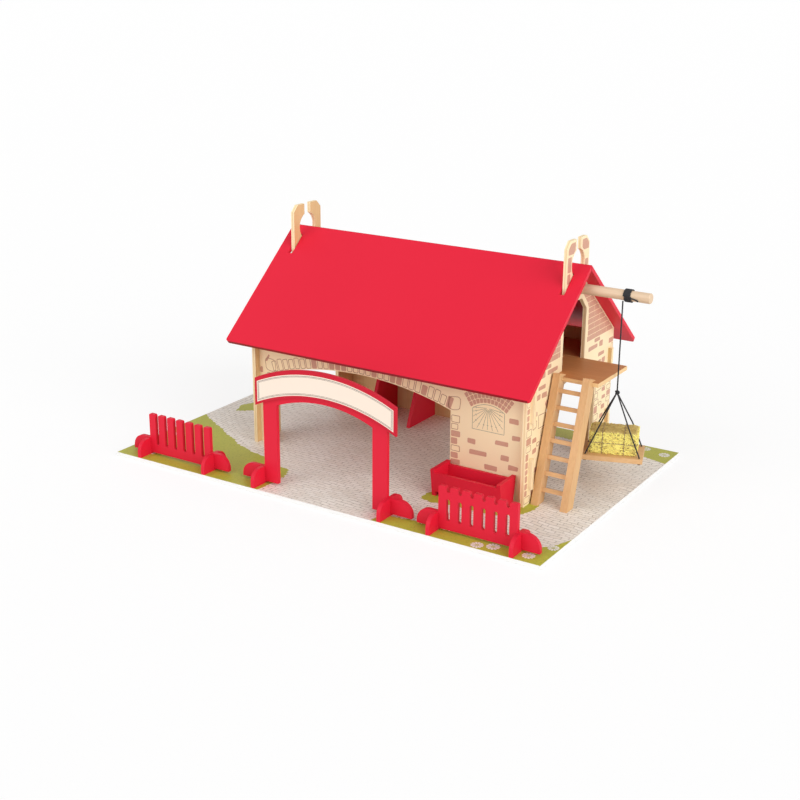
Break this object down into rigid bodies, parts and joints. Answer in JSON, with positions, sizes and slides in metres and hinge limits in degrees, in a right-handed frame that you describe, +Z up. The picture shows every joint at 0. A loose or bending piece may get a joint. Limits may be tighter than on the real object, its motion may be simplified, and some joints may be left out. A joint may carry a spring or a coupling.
{
  "type": "toy barn",
  "caption": "Wooden toy barn on a base board: two roof panels swing up on horned gables, with loft, ladder, stalls, dowel hoist with tray, gate, fences and trough.",
  "frame": {"origin": "centre of the base board's underside", "axes": "+X along the base to the ladder's end, +Y from the gate to the barn's back, +Z up"},
  "size_m": [0.6272, 0.4, 0.305],
  "materials": {
    "roof_red": "satin",
    "board_red": "satin",
    "printed_wall": "satin",
    "printed_ground": "matte",
    "brown_board": "satin",
    "pale_wood": "satin",
    "warm_wood": "satin",
    "cord": "matte",
    "straw": "matte"
  },
  "bodies": {
    "barn": {"base_board": "printed_ground", "gable_left": "printed_wall", "gable_right": "printed_wall", "wall_front": "printed_wall", "wall_back": "printed_wall", "stall_divider_left": "board_red", "stall_divider_right": "board_red", "loft_floor": "brown_board", "loft_platform": "brown_board", "loft_ledge_front": "pale_wood", "loft_ledge_back": "pale_wood", "ladder_stile_left": "warm_wood", "ladder_stile_right": "warm_wood", "ladder_rungs": "warm_wood", "gate_frame": "board_red", "gate_sign": "board_red", "gate_foot_left": "board_red", "gate_foot_right": "board_red", "fence_left": "board_red", "fence_left_foot_a": "board_red", "fence_left_foot_b": "board_red", "fence_right": "board_red", "fence_right_foot_a": "board_red", "fence_right_foot_b": "board_red", "trough_end_left": "board_red", "trough_end_right": "board_red", "trough_front": "board_red", "trough_back": "board_red", "trough_floor": "board_red"},
    "roof_front_panel": {"roof_front": "roof_red"},
    "roof_back_panel": {"roof_back": "roof_red"},
    "hoist_roller": {"hoist_beam": "pale_wood", "hoist_winding": "cord"},
    "hoist_line": {"hoist_cord_drop": "cord"},
    "hoist_load": {"hoist_slings": "cord", "hoist_tray": "warm_wood", "hay_bale": "straw"}
  },
  "joints": [
    {"name": "roof_front_hinge", "type": "hinge", "parent": "barn", "child": "roof_front_panel", "pos_m": [0.0185, 0.047, 0.275], "axis": [-1, 0, 0], "range_deg": [0, 125]},
    {"name": "roof_back_hinge", "type": "hinge", "parent": "barn", "child": "roof_back_panel", "pos_m": [0.0185, 0.047, 0.275], "axis": [1, 0, 0], "range_deg": [0, 125]},
    {"name": "beam_turn", "type": "hinge", "parent": "barn", "child": "hoist_roller", "pos_m": [0.0185, 0.047, 0.2453], "axis": [-1, 0, 0], "range_deg": [-323, 162]},
    {"name": "tray_lift", "type": "slide", "parent": "barn", "child": "hoist_line", "axis": [0, 0, 1], "range_m": [-0.03998, 0.01999], "deforming": ["hoist_cord_drop"]},
    {"name": "tray_spin", "type": "hinge", "parent": "hoist_line", "child": "hoist_load", "pos_m": [0.28, 0.0399, 0.128], "axis": [0, 0, 1], "continuous": true}
  ],
  "couplings": [
    {"joint": "beam_turn", "follows": "tray_lift", "rad_per_m": 140.84}
  ]
}
